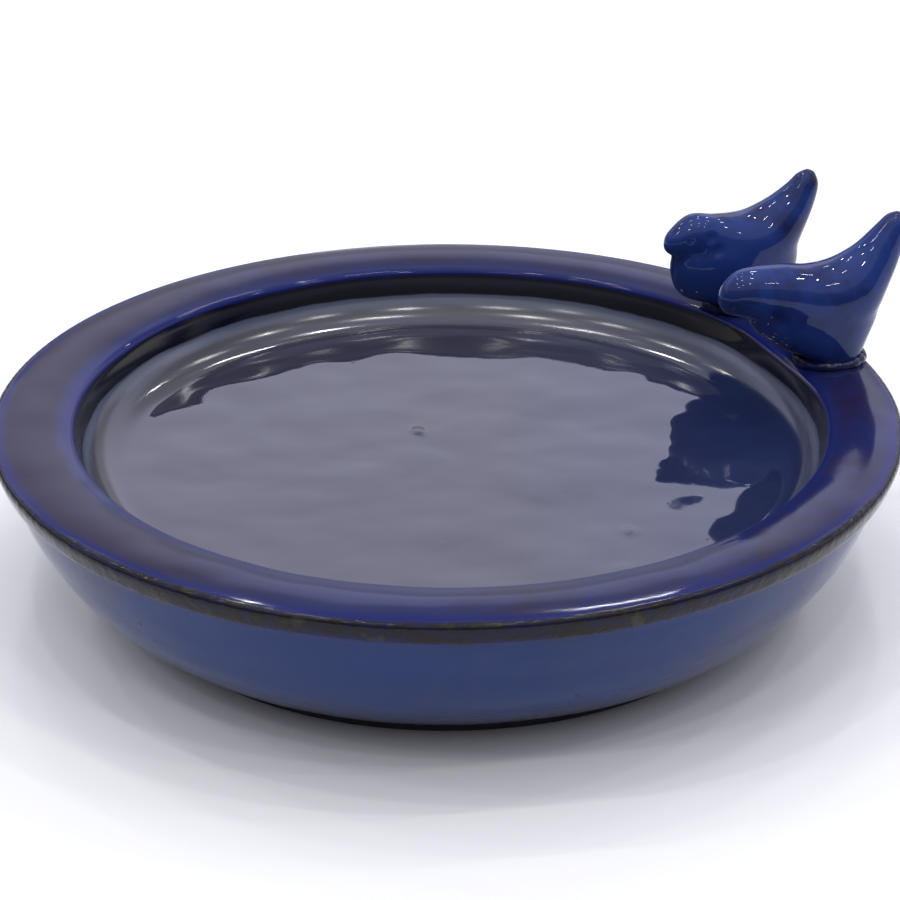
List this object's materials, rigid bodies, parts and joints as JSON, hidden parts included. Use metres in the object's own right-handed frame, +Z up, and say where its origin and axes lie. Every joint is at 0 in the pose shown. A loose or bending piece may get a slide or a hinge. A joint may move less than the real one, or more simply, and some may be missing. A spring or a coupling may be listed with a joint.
{
  "type": "bird bath",
  "caption": "Round glazed stoneware bird bath: a shallow flat-floored dish on a low bellied base, with small birds perched on its broad rim.",
  "frame": {"origin": "centre of the foot ring's circle, on the surface that the bath stands on", "axes": "+Z up along the dish's axis; +X towards the side where the birds sit; -Y is the front"},
  "size_m": [0.3266, 0.3201, 0.12],
  "materials": {
    "blue_glaze": "glossy cobalt glaze that breaks to purple-brown on the rim",
    "bird_glaze": "glossy deep cobalt glaze, thicker than on the dish",
    "bare_stoneware": "bare fired stoneware, matt"
  },
  "bodies": {
    "root": {"dish": "blue_glaze", "base_wall": "blue_glaze", "foot_ring": "bare_stoneware", "left_bird": "bird_glaze", "right_bird": "bird_glaze", "left_slip_bead": "bird_glaze", "right_slip_bead": "bird_glaze"}
  },
  "joints": []
}
